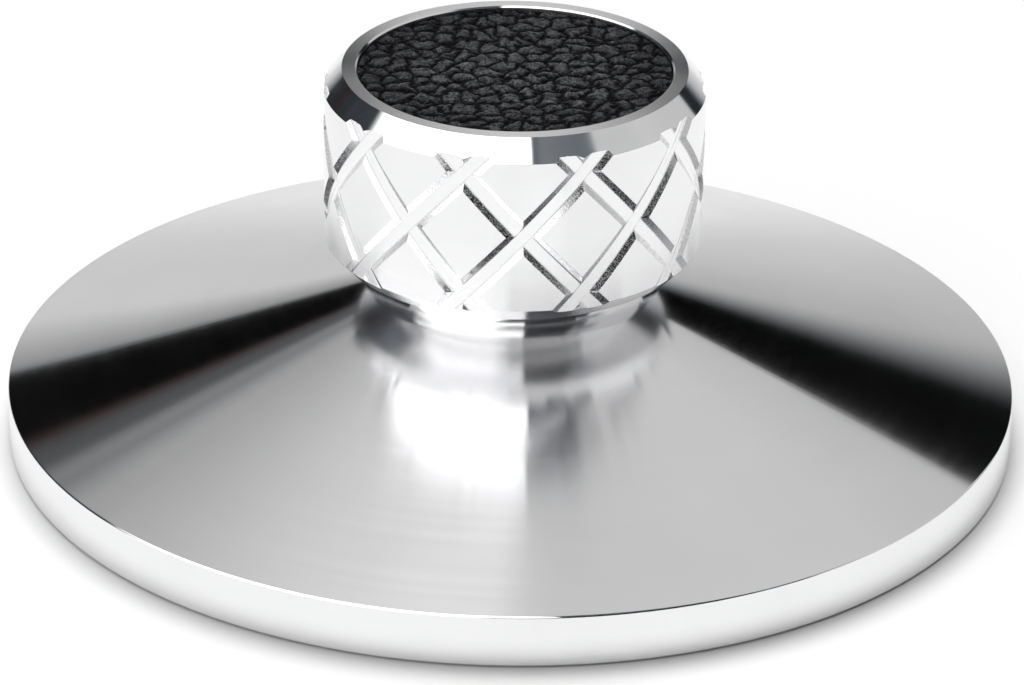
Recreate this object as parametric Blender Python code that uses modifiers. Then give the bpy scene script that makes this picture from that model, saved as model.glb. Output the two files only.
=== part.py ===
"""A record clamp: a disc, neck and grooved knob turned from one bar, and a leather inlay.

Metres, +Z up. The origin is the middle of the face that rests on the record's
label, on the spindle's axis. The photograph's viewer stands towards -Y.
"""

import math

import bmesh
import bpy

MM = 0.001

# The disc that presses on the record's label.
DISC_DIAMETER = 100.0 * MM
RIM_HEIGHT = 5.25 * MM
RIM_EDGE_BREAK = 0.20 * MM
CONE_ANGLE = math.radians(16.2)
FOOT_CHAMFER = 0.25 * MM

# The underside: a flat ring that touches the label, and two shallow steps inside it.
CONTACT_RING_WIDTH = 8.0 * MM
LABEL_RECESS_DEPTH = 0.8 * MM
CENTRE_RELIEF_DIAMETER = 24.0 * MM
CENTRE_RELIEF_DEPTH = 1.2 * MM

# The hole for the record player's threaded spindle.
SPINDLE_DIAMETER = 7.2 * MM
SPINDLE_CLEARANCE = 0.2 * MM
SPINDLE_ENTRY_CHAMFER = 0.6 * MM
SHANK_HOLE_DEPTH = 12.0 * MM
THREAD_CORE_DIAMETER = 5.9 * MM
THREAD_LENGTH = 16.0 * MM
DRILL_POINT_ANGLE = math.radians(118.0)

# The neck between the disc and the knob, its length from the cone to the knob.
NECK_DIAMETER = 25.6 * MM
NECK_LENGTH = 3.29 * MM
NECK_FOOT_FILLET = 2.5 * MM
NECK_HEAD_FILLET = 0.6 * MM

# The knob, whose flat top is a ring between its chamfer and the leather's pocket.
KNOB_DIAMETER = 37.2 * MM
KNOB_HEIGHT = 18.85 * MM
KNOB_TOP_CHAMFER_WIDTH = 1.77 * MM
KNOB_TOP_CHAMFER_HEIGHT = 2.02 * MM
KNOB_FOOT_CHAMFER_WIDTH = 1.38 * MM
KNOB_FOOT_CHAMFER_HEIGHT = 1.50 * MM
KNOB_RING_WIDTH = 1.33 * MM

# The crossing grooves that give the fingers their grip.
GROOVES_EACH_WAY = 10
GROOVE_DEPTH = 0.40 * MM
GROOVE_FLOOR_WIDTH = 1.32 * MM
GROOVE_FLANK_ANGLE = math.radians(57.0)
GROOVE_ROW_SPACING = 6.30 * MM
GROOVE_PHASE = math.radians(3.2)
SECOND_PASS_SHALLOWER = 0.03 * MM

# The leather in the top of the knob.
LEATHER_THICKNESS = 1.20 * MM
LEATHER_SUNK = 0.30 * MM
LEATHER_EDGE_ROUND = 0.25 * MM
LEATHER_CLEARANCE = 0.30 * MM
POCKET_EDGE_BREAK = 0.15 * MM

# How finely the round surfaces are stepped, and how far the cutters' steps are set off
# the body's, as a share of one step.
FACETS_PER_GROOVE = 10
FILLET_STEPS = 4
LEATHER_FACETS = 80
EDGE_ROUND_STEPS = 2
STEP_OFFSET = 0.25
WELD_DISTANCE = 0.01 * MM
CUTTER_MARGIN = 0.5 * MM

# Sizes that follow from the ones above.
DISC_RADIUS = DISC_DIAMETER / 2
NECK_RADIUS = NECK_DIAMETER / 2
NECK_FOOT = RIM_HEIGHT + (DISC_RADIUS - NECK_RADIUS) * math.tan(CONE_ANGLE)
KNOB_RADIUS = KNOB_DIAMETER / 2
KNOB_UNDERSIDE = NECK_FOOT + NECK_LENGTH
KNOB_TOP = KNOB_UNDERSIDE + KNOB_HEIGHT
RING_RADIUS = KNOB_RADIUS - KNOB_TOP_CHAMFER_WIDTH
POCKET_RADIUS = RING_RADIUS - KNOB_RING_WIDTH - POCKET_EDGE_BREAK
POCKET_FLOOR = KNOB_TOP - LEATHER_SUNK - LEATHER_THICKNESS - LEATHER_CLEARANCE
LEATHER_RADIUS = POCKET_RADIUS - LEATHER_CLEARANCE
WALL_BOTTOM = KNOB_UNDERSIDE + KNOB_FOOT_CHAMFER_HEIGHT
WALL_TOP = KNOB_TOP - KNOB_TOP_CHAMFER_HEIGHT
GROOVE_MIDDLE = (WALL_BOTTOM + WALL_TOP) / 2
GROOVE_STEP_ANGLE = math.pi / GROOVES_EACH_WAY
BODY_FACETS = GROOVES_EACH_WAY * FACETS_PER_GROOVE
FRONT = math.radians(-90.0)

ALUMINIUM = ("turned_aluminium", (0.80, 0.80, 0.81, 1.0), 0.25, 1.0)
LEATHER = ("black_leather", (0.02, 0.02, 0.022, 1.0), 0.60, 0.0)


def clear_scene():
    """Remove every object that a new file opens with."""
    for obj in list(bpy.data.objects):
        bpy.data.objects.remove(obj, do_unlink=True)


def make_material(name, colour, roughness, metallic):
    """Make a Principled material of one colour."""
    material = bpy.data.materials.new(name)
    material.use_nodes = True
    shader = material.node_tree.nodes["Principled BSDF"]
    shader.inputs["Base Color"].default_value = colour
    shader.inputs["Roughness"].default_value = roughness
    shader.inputs["Metallic"].default_value = metallic
    return material


def make_collection(name):
    """Make a collection in the scene."""
    collection = bpy.data.collections.new(name)
    bpy.context.scene.collection.children.link(collection)
    return collection


def add_object(name, bm, collection, material=None):
    """Turn a bmesh into an object of a collection."""
    mesh = bpy.data.meshes.new(name)
    bm.to_mesh(mesh)
    bm.free()
    obj = bpy.data.objects.new(name, mesh)
    collection.objects.link(obj)
    if material is not None:
        mesh.materials.append(material)
    return obj


def concave_fillet(corner, towards_start, towards_end, radius, steps):
    """Points of an arc that rounds a corner between two unit directions leaving it."""
    cosine = towards_start[0] * towards_end[0] + towards_start[1] * towards_end[1]
    half = math.acos(cosine) / 2
    setback = radius / math.tan(half)
    first = [corner[i] + towards_start[i] * setback for i in range(2)]
    bisector = [towards_start[i] + towards_end[i] for i in range(2)]
    length = math.hypot(*bisector)
    centre = [corner[i] + bisector[i] / length * radius / math.sin(half) for i in range(2)]
    begin = math.atan2(first[1] - centre[1], first[0] - centre[0])
    last = [corner[i] + towards_end[i] * setback for i in range(2)]
    end = math.atan2(last[1] - centre[1], last[0] - centre[0])
    sweep = (end - begin + math.pi) % (2 * math.pi) - math.pi
    angles = [begin + sweep * step / steps for step in range(steps + 1)]
    return [(centre[0] + radius * math.cos(a), centre[1] + radius * math.sin(a)) for a in angles]


def knob_profile():
    """Outer line of the pocket, knob and neck, from the axis down to the neck's foot."""
    points = [
        (0.0, POCKET_FLOOR),
        (POCKET_RADIUS, POCKET_FLOOR),
        (POCKET_RADIUS, KNOB_TOP - POCKET_EDGE_BREAK),
        (POCKET_RADIUS + POCKET_EDGE_BREAK, KNOB_TOP),
        (RING_RADIUS, KNOB_TOP),
        (KNOB_RADIUS, WALL_TOP),
        (KNOB_RADIUS, WALL_BOTTOM),
        (KNOB_RADIUS - KNOB_FOOT_CHAMFER_WIDTH, KNOB_UNDERSIDE),
    ]
    head = (NECK_RADIUS, KNOB_UNDERSIDE)
    points += concave_fillet(head, (1.0, 0.0), (0.0, -1.0), NECK_HEAD_FILLET, FILLET_STEPS // 2)
    foot = (NECK_RADIUS, NECK_FOOT)
    down_cone = (math.cos(CONE_ANGLE), -math.sin(CONE_ANGLE))
    points += concave_fillet(foot, (0.0, 1.0), down_cone, NECK_FOOT_FILLET, FILLET_STEPS)
    return points


def disc_profile():
    """Outer line of the rim and the underside, from the cone's edge in to the relief."""
    contact_inner = DISC_RADIUS - CONTACT_RING_WIDTH
    relief = CENTRE_RELIEF_DIAMETER / 2
    relief_ceiling = LABEL_RECESS_DEPTH + CENTRE_RELIEF_DEPTH
    return [
        (DISC_RADIUS - RIM_EDGE_BREAK, RIM_HEIGHT + RIM_EDGE_BREAK * math.tan(CONE_ANGLE)),
        (DISC_RADIUS, RIM_HEIGHT - RIM_EDGE_BREAK),
        (DISC_RADIUS, FOOT_CHAMFER),
        (DISC_RADIUS - FOOT_CHAMFER, 0.0),
        (contact_inner, 0.0),
        (contact_inner - LABEL_RECESS_DEPTH, LABEL_RECESS_DEPTH),
        (relief, LABEL_RECESS_DEPTH),
        (relief - CENTRE_RELIEF_DEPTH, relief_ceiling),
    ]


def bore_profile():
    """Line of the spindle's hole, from its mouth up to the drill's point on the axis."""
    mouth = LABEL_RECESS_DEPTH + CENTRE_RELIEF_DEPTH
    shank = (SPINDLE_DIAMETER + SPINDLE_CLEARANCE) / 2
    core = THREAD_CORE_DIAMETER / 2
    thread_start = SHANK_HOLE_DEPTH + (shank - core)
    thread_end = thread_start + THREAD_LENGTH
    return [
        (shank + SPINDLE_ENTRY_CHAMFER, mouth),
        (shank, mouth + SPINDLE_ENTRY_CHAMFER),
        (shank, SHANK_HOLE_DEPTH),
        (core, thread_start),
        (core, thread_end),
        (0.0, thread_end + core / math.tan(DRILL_POINT_ANGLE / 2)),
    ]


def turn_profile(name, points, facets, collection, material):
    """Turn an open line of (radius, height) points about the axis into a closed body."""
    bm = bmesh.new()
    line = [bm.verts.new((radius, 0.0, height)) for radius, height in points]
    for upper, lower in zip(line, line[1:]):
        bm.edges.new((upper, lower))
    obj = add_object(name, bm, collection, material)
    screw = obj.modifiers.new("turning", "SCREW")
    screw.axis = "Z"
    screw.steps = facets
    screw.render_steps = facets
    screw.use_merge_vertices = True
    screw.merge_threshold = WELD_DISTANCE
    screw.use_smooth_shade = True
    return obj


def groove_half_height(radius, floor_radius, climb):
    """Half of a groove's height at one azimuth, at a radius, for a groove that climbs so."""
    half_width = GROOVE_FLOOR_WIDTH / 2 + (radius - floor_radius) * math.tan(GROOVE_FLANK_ANGLE)
    return half_width / math.cos(climb)


def make_groove_cutter(name, hand, depth, collection):
    """Sweep the grooves of one hand along their helices as one cutter.

    Each step turns the section by one body facet. The steps are set off the facets'
    edges, so that no edge of the cut lies along an edge of the knob.
    """
    floor = KNOB_RADIUS - depth
    outer = KNOB_RADIUS + CUTTER_MARGIN
    climb = math.atan2(GROOVE_ROW_SPACING, KNOB_RADIUS * GROOVE_STEP_ANGLE)
    facet_angle = 2 * math.pi / BODY_FACETS
    facet_rise = GROOVE_ROW_SPACING * facet_angle / GROOVE_STEP_ANGLE
    reach = groove_half_height(KNOB_RADIUS, floor, climb) + CUTTER_MARGIN
    above = math.ceil((WALL_TOP + reach - GROOVE_MIDDLE) / facet_rise)
    below = math.ceil((GROOVE_MIDDLE - WALL_BOTTOM + reach) / facet_rise)
    start = STEP_OFFSET - below
    steps = below + above
    bm = bmesh.new()
    for groove in range(GROOVES_EACH_WAY):
        crossing = FRONT + GROOVE_PHASE + 2 * GROOVE_STEP_ANGLE * groove
        azimuth = crossing + hand * start * facet_angle
        height = GROOVE_MIDDLE + start * facet_rise
        corners = []
        for radius, side in ((floor, -1), (outer, -1), (outer, 1), (floor, 1)):
            half = groove_half_height(radius, floor, climb)
            place = (radius * math.cos(azimuth), radius * math.sin(azimuth), height + side * half)
            corners.append(bm.verts.new(place))
        bmesh.ops.spin(
            bm,
            geom=[bm.faces.new(corners)],
            axis=(0.0, 0.0, hand),
            angle=facet_angle * steps,
            dvec=(0.0, 0.0, facet_rise),
            steps=steps,
        )
    bmesh.ops.remove_doubles(bm, verts=bm.verts, dist=WELD_DISTANCE)
    bmesh.ops.recalc_face_normals(bm, faces=bm.faces)
    cutter = add_object(name, bm, collection)
    cutter.hide_render = True
    cutter.display_type = "WIRE"
    return cutter


def cut(obj, cutter):
    """Cut one object out of another."""
    boolean = obj.modifiers.new(cutter.name, "BOOLEAN")
    boolean.operation = "DIFFERENCE"
    boolean.solver = "EXACT"
    boolean.object = cutter


def make_clamp_body(parts, cutters, material):
    """Turn the disc, neck and knob in one, and mill the grooves round the knob."""
    points = knob_profile() + disc_profile() + bore_profile()
    body = turn_profile("clamp_body", points, BODY_FACETS, parts, material)
    body.rotation_euler.z = GROOVE_PHASE
    cut(body, make_groove_cutter("right_hand_grooves", 1, GROOVE_DEPTH, cutters))
    shallower = GROOVE_DEPTH - SECOND_PASS_SHALLOWER
    cut(body, make_groove_cutter("left_hand_grooves", -1, shallower, cutters))
    return body


def make_leather_inlay(parts, material):
    """Make the leather disc that lies in the knob's pocket."""
    bm = bmesh.new()
    bmesh.ops.create_cone(
        bm,
        cap_ends=True,
        segments=LEATHER_FACETS,
        radius1=LEATHER_RADIUS,
        radius2=LEATHER_RADIUS,
        depth=LEATHER_THICKNESS,
    )
    leather = add_object("leather_inlay", bm, parts, material)
    leather.location.z = POCKET_FLOOR + LEATHER_CLEARANCE + LEATHER_THICKNESS / 2
    edge = leather.modifiers.new("rounded_edge", "BEVEL")
    edge.width = LEATHER_EDGE_ROUND
    edge.segments = EDGE_ROUND_STEPS
    edge.limit_method = "ANGLE"
    leather.data.shade_smooth()
    return leather


def main():
    """Build the clamp."""
    clear_scene()
    parts = make_collection("record_clamp")
    cutters = make_collection("cutters")
    make_clamp_body(parts, cutters, make_material(*ALUMINIUM))
    make_leather_inlay(parts, make_material(*LEATHER))


main()
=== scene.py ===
"""The look of a record clamp: a turned body with a milled grip, and a leather inlay.

Metres, +Z up. The origin is the middle of the face that rests on the record's label,
and the photograph's viewer stands towards -Y.
"""

from __future__ import annotations

import logging
import math
from dataclasses import dataclass
from dataclasses import field
from enum import Enum
from typing import Any
from typing import Callable
from typing import Sequence

import bmesh
import bpy
import numpy as np
from mathutils import Matrix
from mathutils import Vector

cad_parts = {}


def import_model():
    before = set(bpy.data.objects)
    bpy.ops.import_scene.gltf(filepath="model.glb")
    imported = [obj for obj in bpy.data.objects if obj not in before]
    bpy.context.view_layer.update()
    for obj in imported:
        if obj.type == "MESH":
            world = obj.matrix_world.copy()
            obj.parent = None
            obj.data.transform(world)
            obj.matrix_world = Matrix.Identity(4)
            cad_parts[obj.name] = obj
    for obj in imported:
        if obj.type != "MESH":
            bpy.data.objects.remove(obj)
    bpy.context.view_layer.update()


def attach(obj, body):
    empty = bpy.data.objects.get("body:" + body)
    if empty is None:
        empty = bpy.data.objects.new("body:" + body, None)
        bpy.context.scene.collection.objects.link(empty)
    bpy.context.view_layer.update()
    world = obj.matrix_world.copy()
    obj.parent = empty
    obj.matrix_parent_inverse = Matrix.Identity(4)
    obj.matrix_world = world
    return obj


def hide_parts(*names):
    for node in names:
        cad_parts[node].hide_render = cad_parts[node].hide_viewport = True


MM = 0.001
FULL_TURN = 2 * math.pi
FRONT = math.radians(-90.0)
LOG = logging.getLogger("record_clamp")
WELD_DISTANCE = 0.0005 * MM
CAP = -1
BAND = "turned_band"
PEBBLE_SHARE = "pebble_share"
PEBBLE_HEIGHT = "pebble_height"
Colour = tuple[float, float, float, float]
Point = tuple[float, float]
Spot = tuple[float, float, float]
Settings = dict[str, Any] | None
Sockets = dict[str | int, Any] | None


# Node trees written as Python expressions


def sign(operation: str, reflected: bool = False) -> Callable[..., Term]:
    """Make a method of Term that adds a Math node.

    Args:
        operation: What the node does.
        reflected: Whether the term stands on the right of the plain number.

    Returns:
        The method.
    """

    def method(term: Term, *others: Number) -> Term:
        """Add the node."""
        values = (*others, term) if reflected else (term, *others)
        return term.graph.math(operation, *values)

    return method


class Term:
    """A node's output, on which Python's own signs add Math nodes."""

    __add__ = sign("ADD")
    __radd__ = sign("ADD", reflected=True)
    __sub__ = sign("SUBTRACT")
    __rsub__ = sign("SUBTRACT", reflected=True)
    __mul__ = sign("MULTIPLY")
    __rmul__ = sign("MULTIPLY", reflected=True)
    __truediv__ = sign("DIVIDE")
    __pow__ = sign("POWER")
    __gt__ = sign("GREATER_THAN")
    __lt__ = sign("LESS_THAN")
    sin = sign("SINE")
    cos = sign("COSINE")
    abs = sign("ABSOLUTE")
    fract = sign("FRACT")
    root = sign("SQRT")

    def __init__(self, graph: Graph, socket: bpy.types.NodeSocket) -> None:
        """Keep the socket and the graph that it is in."""
        self.graph = graph
        self.socket = socket

    def __neg__(self) -> Term:
        """Opposite."""
        return self * -1.0

    def share(self, low: Number, high: Number, kind: str = "LINEAR") -> Term:
        """Go evenly from 0 at low to 1 at high, or in another kind of way."""
        sockets = {"Value": self, "From Min": low, "From Max": high}
        return self.graph.term("ShaderNodeMapRange", {"interpolation_type": kind}, sockets)

    def rise(self, low: Number, high: Number) -> Term:
        """Go smoothly from 0 at low to 1 at high."""
        return self.share(low, high, "SMOOTHSTEP")

    def fall(self, low: Number, high: Number) -> Term:
        """Go smoothly from 1 at low to 0 at high."""
        return 1.0 - self.rise(low, high)


Number = Term | float


class Graph:
    """A node tree to which plain calls add nodes."""

    def __init__(self, tree: bpy.types.NodeTree) -> None:
        """Keep the tree."""
        self.tree = tree

    def pick(self, sockets: Sequence[bpy.types.NodeSocket], key: str | int) -> bpy.types.NodeSocket:
        """Find the socket of a name among those in use, or the one at a place in the list."""
        if isinstance(key, int):
            return sockets[key]
        return next(socket for socket in sockets if socket.enabled and socket.name == key)

    def feed(self, socket: bpy.types.NodeSocket, value: Any) -> None:
        """Give an input a plain value, or link a term to it."""
        if isinstance(value, Term):
            self.tree.links.new(value.socket, socket)
        else:
            socket.default_value = value

    def fill(self, node: bpy.types.Node, sockets: dict[str | int, Any]) -> None:
        """Give a node's inputs their values or links."""
        for key, value in sockets.items():
            self.feed(self.pick(node.inputs, key), value)

    def node(self, kind: str, settings: Settings = None, sockets: Sockets = None) -> bpy.types.Node:
        """Add a node.

        Args:
            kind: The node's type.
            settings: Its properties, which are set first.
            sockets: Values or links of its inputs.

        Returns:
            The new node.
        """
        node = self.tree.nodes.new(kind)
        for name, value in (settings or {}).items():
            setattr(node, name, value)
        self.fill(node, sockets or {})
        return node

    def term(
        self,
        kind: str,
        settings: Settings = None,
        sockets: Sockets = None,
        output: str | int = 0,
    ) -> Term:
        """Add a node as above, and take the output of a name or at a place."""
        node = self.node(kind, settings, sockets)
        return Term(self, self.pick(node.outputs, output))

    def math(self, operation: str, *values: Number) -> Term:
        """Add a Math node."""
        return self.term("ShaderNodeMath", {"operation": operation}, dict(enumerate(values)))

    def mix(self, factor: Number, first: Any, second: Any, kind: str = "FLOAT") -> Term:
        """Blend two numbers, or values of another kind, by the share of the second one."""
        sockets = {"Factor": factor, "A": first, "B": second}
        return self.term("ShaderNodeMix", {"data_type": kind}, sockets, "Result")

    def blend(self, factor: Number, first: Any, second: Any) -> Term:
        """Blend two colours by the share of the second one."""
        return self.mix(factor, first, second, "RGBA")

    def combine(self, x: Number, y: Number, z: Number) -> Term:
        """Make a vector of three numbers."""
        return self.term("ShaderNodeCombineXYZ", None, {"X": x, "Y": y, "Z": z})

    def separate(self, vector: Term) -> list[Term]:
        """Take a vector apart into its three numbers."""
        node = self.node("ShaderNodeSeparateXYZ", None, {0: vector})
        return [Term(self, socket) for socket in node.outputs]

    def reach(self, x: Term, y: Term) -> Term:
        """Measure the distance from the axis."""
        return (x * x + y * y).root()

    def vector(self, operation: str, first: Any, second: Any) -> Term:
        """Add a Vector Math node."""
        return self.term("ShaderNodeVectorMath", {"operation": operation}, {0: first, 1: second})

    def noise(
        self,
        vector: Term,
        scale: float,
        detail: float = 2.0,
        roughness: float = 0.5,
        output: str | int = 0,
    ) -> Term:
        """Read soft noise about 0.5.

        Args:
            vector: Where to read it.
            scale: Lumps to a metre.
            detail: Finer layers on top.
            roughness: How strong these layers are.
            output: The output's name or place.

        Returns:
            The noise.
        """
        sockets = {"Vector": vector, "Scale": scale, "Detail": detail, "Roughness": roughness}
        return self.term("ShaderNodeTexNoise", None, sockets, output)


# Finishes


@dataclass(frozen=True)
class Finish:
    """What every finish shares: its name, its material and its bent normals."""

    name: str

    def make(self) -> bpy.types.Material:
        """Make the material.

        Returns:
            The material.
        """
        material = bpy.data.materials.new(self.name)
        material.use_nodes = True
        graph = Graph(material.node_tree)
        place = graph.term("ShaderNodeTexCoord", None, None, "Object")
        graph.fill(material.node_tree.nodes["Principled BSDF"], self.inputs(graph, place))
        return material

    def inputs(self, graph: Graph, place: Term) -> dict[str, Any]:
        """Work out what the shader's inputs get, which is each finish's own."""
        raise NotImplementedError

    def relief(self, graph: Graph, height: Term, distance: float, strength: float) -> Term:
        """Bend the normals by a height."""
        sockets = {"Height": height, "Distance": distance, "Strength": strength}
        return graph.term("ShaderNodeBump", None, sockets)


@dataclass(frozen=True)
class TurnedAluminium(Finish):
    """Aluminium from the lathe, whose fine rings spread a highlight across them."""

    tint: Colour = (0.90, 0.90, 0.905, 1.0)
    shade: Colour = (0.84, 0.84, 0.85, 1.0)
    roughness: float = 0.125
    unevenness: float = 0.05
    cloud_scale: float = 90.0
    anisotropy: float = 1.0
    across_rings: float = 0.25
    ring_lines: float = 5200.0
    lines_to_a_band: float = 9.0
    ring_relief: float = 0.0000012
    relief_strength: float = 0.5

    def inputs(self, graph: Graph, place: Term) -> dict[str, Any]:
        """Spread the rings' highlight, and let them bend the normals.

        Args:
            graph: The material's graph.
            place: The place on the piece.

        Returns:
            Values and terms by the inputs' names.
        """
        x, y, z = graph.separate(place)
        radius = graph.reach(x, y)
        travel = radius - z
        rings = graph.combine(travel * self.ring_lines, x / radius, y / radius)
        lines = graph.noise(rings, 1.0, detail=3.0, roughness=0.7)
        bands = graph.noise(graph.combine(travel, 0.0, 0.0), self.ring_lines / self.lines_to_a_band)
        clouds = graph.noise(place, self.cloud_scale, detail=3.0)
        dullness = (bands - 0.5) * self.unevenness + (clouds - 0.5) * self.unevenness
        return {
            "Base Color": graph.blend(clouds, self.tint, self.shade),
            "Roughness": dullness + self.roughness,
            "Metallic": 1.0,
            "Anisotropic": self.anisotropy,
            "Anisotropic Rotation": self.across_rings,
            "Normal": self.relief(graph, lines, self.ring_relief, self.relief_strength),
        }


@dataclass(frozen=True)
class MilledAluminium(Finish):
    """Aluminium from the milling cutter, with its chatter."""

    tint: Colour = (0.95, 0.95, 0.955, 1.0)
    shade: Colour = (0.88, 0.88, 0.89, 1.0)
    roughness: float = 0.22
    unevenness: float = 0.1
    cloud_scale: float = 600.0
    chatter: float = 7000.0
    chatter_relief: float = 0.000012
    relief_strength: float = 0.6
    shaded_marks: Point = (0.40, 0.60)
    torn_marks: Point = (0.50, 0.60)
    torn: float = 0.0

    def inputs(self, graph: Graph, place: Term) -> dict[str, Any]:
        """Tear and shade the cutter's marks.

        Args:
            graph: The material's graph.
            place: The place on the piece.

        Returns:
            Values and terms by the inputs' names.
        """
        marks = graph.noise(place, self.chatter, roughness=0.6)
        clouds = graph.noise(place, self.cloud_scale)
        torn = marks.rise(*self.torn_marks) * self.torn
        return {
            "Base Color": graph.blend(marks.rise(*self.shaded_marks), self.tint, self.shade),
            "Roughness": (clouds - 0.5) * self.unevenness + torn + self.roughness,
            "Metallic": 1.0,
            "Normal": self.relief(graph, marks, self.chatter_relief, self.relief_strength),
        }


@dataclass(frozen=True)
class BlackLeather(Finish):
    """Black pebble-grained leather with a satin dressing, whose colour holds painted sheen on the tops and
    painted shade in the creases.
    """

    # The pebbles' top colour is painted sheen, and the crease colour is painted shade.
    raised_sheen: Colour = (0.038, 0.039, 0.041, 1.0)
    sunk: Colour = (0.0012, 0.0012, 0.0015, 1.0)
    roughness: float = 0.52
    unevenness: float = 0.2
    cloud_scale: float = 900.0
    gloss: float = 0.06
    wrinkles: float = 3600.0
    wrinkle_width: float = 0.16
    wrinkle_sharpness: float = 4.0
    wrinkle_sheen: float = 1.5
    even_sheen: float = 0.03
    sheen_height: Point = (0.03, 0.50)
    cloud_sheen: float = 1.5
    cloud_cover: float = 0.15
    wrinkle_relief: float = 0.00016
    relief_strength: float = 0.7

    def inputs(self, graph: Graph, place: Term) -> dict[str, Any]:
        """Paint sheen on the pebbles' tops and wrinkles, and shade in the creases.

        Args:
            graph: The material's graph.
            place: The place on the piece.

        Returns:
            Values and terms by the inputs' names.
        """
        height = graph.term("ShaderNodeAttribute", {"attribute_name": PEBBLE_HEIGHT}, None, "Fac")
        middle = (graph.noise(place, self.wrinkles, detail=3.0, roughness=0.6) - 0.5).abs()
        wrinkles = 1.0 - middle.share(0.0, self.wrinkle_width)
        clouds = graph.noise(place, self.cloud_scale)
        # Painted sheen on the wrinkles and the pebbles' tops, and painted shade down in the creases.
        sheen_amount = wrinkles**self.wrinkle_sharpness * self.wrinkle_sheen + self.even_sheen
        painted_sheen = height.rise(*self.sheen_height) * sheen_amount * (clouds * self.cloud_sheen - self.cloud_cover)
        return {
            "Base Color": graph.blend(painted_sheen, self.sunk, self.raised_sheen),
            "Roughness": (clouds - 0.5) * self.unevenness + self.roughness,
            "Specular IOR Level": self.gloss,
            "Normal": self.relief(graph, wrinkles, self.wrinkle_relief, self.relief_strength),
        }


@dataclass(frozen=True)
class PaleFloor(Finish):
    """The studio's white paper floor."""

    light: Colour = (0.43, 0.43, 0.43, 1.0)
    dim: Colour = (0.42, 0.42, 0.42, 1.0)
    # The far colour is painted shade: the paper darkens away from the object where the light falls off.
    far: Colour = (0.28, 0.28, 0.28, 1.0)
    cloud_scale: float = 6.0
    far_shade_from: Point = (0.16, 0.5)
    roughness: float = 0.9
    gloss: float = 0.1

    def inputs(self, graph: Graph, place: Term) -> dict[str, Any]:
        """Darken the paper towards its far end, as painted shade where the light falls off.

        Args:
            graph: The material's graph.
            place: The place on the piece.

        Returns:
            Values and terms by the inputs' names.
        """
        x, y, _ = graph.separate(place)
        near = graph.blend(graph.noise(place, self.cloud_scale), self.light, self.dim)
        colour = graph.blend(graph.reach(x, y).rise(*self.far_shade_from), near, self.far)
        return {"Base Color": colour, "Roughness": self.roughness, "Specular IOR Level": self.gloss}


# Geometry Nodes


class ShapeTree(Graph):
    """A Geometry Nodes tree with named inputs."""

    def __init__(self, name: str) -> None:
        """Start the tree with its geometry in and out."""
        super().__init__(bpy.data.node_groups.new(name, "GeometryNodeTree"))
        self.tree.interface.new_socket("Geometry", in_out="INPUT", socket_type="NodeSocketGeometry")
        self.tree.interface.new_socket("Geometry", in_out="OUTPUT", socket_type="NodeSocketGeometry")
        self.entry = self.node("NodeGroupInput")
        self.values: dict[str, Any] = {}

    def input(self, name: str, value: Any, kind: str = "NodeSocketFloat") -> Term:
        """Add a named input.

        Args:
            name: What it is called.
            value: What it is set to.
            kind: Its socket's type.

        Returns:
            The input.
        """
        socket = self.tree.interface.new_socket(name, in_out="INPUT", socket_type=kind)
        self.values[socket.identifier] = value
        return Term(self, self.pick(self.entry.outputs, name))

    def geometry(self) -> Term:
        """Take the geometry that comes in."""
        return Term(self, self.entry.outputs[0])

    def add(self, kind: str, sockets: Sockets = None, **settings: Any) -> Term:
        """Add a node of Geometry Nodes, named without that prefix, and take its first output."""
        return self.term("GeometryNode" + kind, settings, sockets)

    def attribute(self, name: str, kind: str) -> Term:
        """Read a named attribute."""
        return self.add("InputNamedAttribute", {"Name": name}, data_type=kind)

    def dress(self, geometry: Term, material: Term, share: Any = True) -> Term:
        """Give the faces of a share a material."""
        sockets = {"Geometry": geometry, "Selection": share, "Material": material}
        return self.add("SetMaterial", sockets)

    def finish(self, geometry: Term, material: Term, share: Any = True) -> None:
        """End the tree with a geometry, of which a share of the faces gets a material."""
        solid = self.add("RealizeInstances", {"Geometry": geometry})
        self.node("NodeGroupOutput", None, {0: self.dress(solid, material, share)})

    def put_on(self, obj: bpy.types.Object) -> None:
        """Add the tree to an object, with its inputs set."""
        modifier = obj.modifiers.new(self.tree.name, "NODES")
        modifier.node_group = self.tree
        for identifier, value in self.values.items():
            modifier[identifier] = value


def add_object(name: str, data: bpy.types.ID) -> bpy.types.Object:
    """Put a new object of some data into the scene."""
    obj = bpy.data.objects.new(name, data)
    bpy.context.scene.collection.objects.link(obj)
    return obj


def plain_copy(obj: bpy.types.Object) -> bpy.types.Object:
    """Turn an object with modifiers into a plain mesh object of the same name.

    Args:
        obj: The object, which is removed.

    Returns:
        The plain one.
    """
    name = obj.name
    shape = obj.evaluated_get(bpy.context.evaluated_depsgraph_get())
    mesh = bpy.data.meshes.new_from_object(shape)
    bpy.data.objects.remove(obj)
    mesh.name = name
    return add_object(name, mesh)


def read(values: Any, name: str, kind: type, width: int = 1) -> np.ndarray:
    """Read a value of each of a mesh's elements.

    Args:
        values: The elements.
        name: What the value is called.
        kind: The numbers' type.
        width: How many numbers a value has.

    Returns:
        The numbers, with a row for each element where a value has several.
    """
    numbers = np.empty(len(values) * width, dtype=kind)
    values.foreach_get(name, numbers)
    return numbers.reshape(-1, width) if width > 1 else numbers


# Turned shapes


class Bend(Enum):
    """How a stretch of a turned profile runs."""

    STRAIGHT = "straight"
    ROUND = "round"


@dataclass
class Stretch:
    """A straight or round stretch of a profile, with what its normals need."""

    bend: Bend
    normal: Point = (0.0, 0.0)
    centre: Point = (0.0, 0.0)
    outward: float = 1.0


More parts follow.
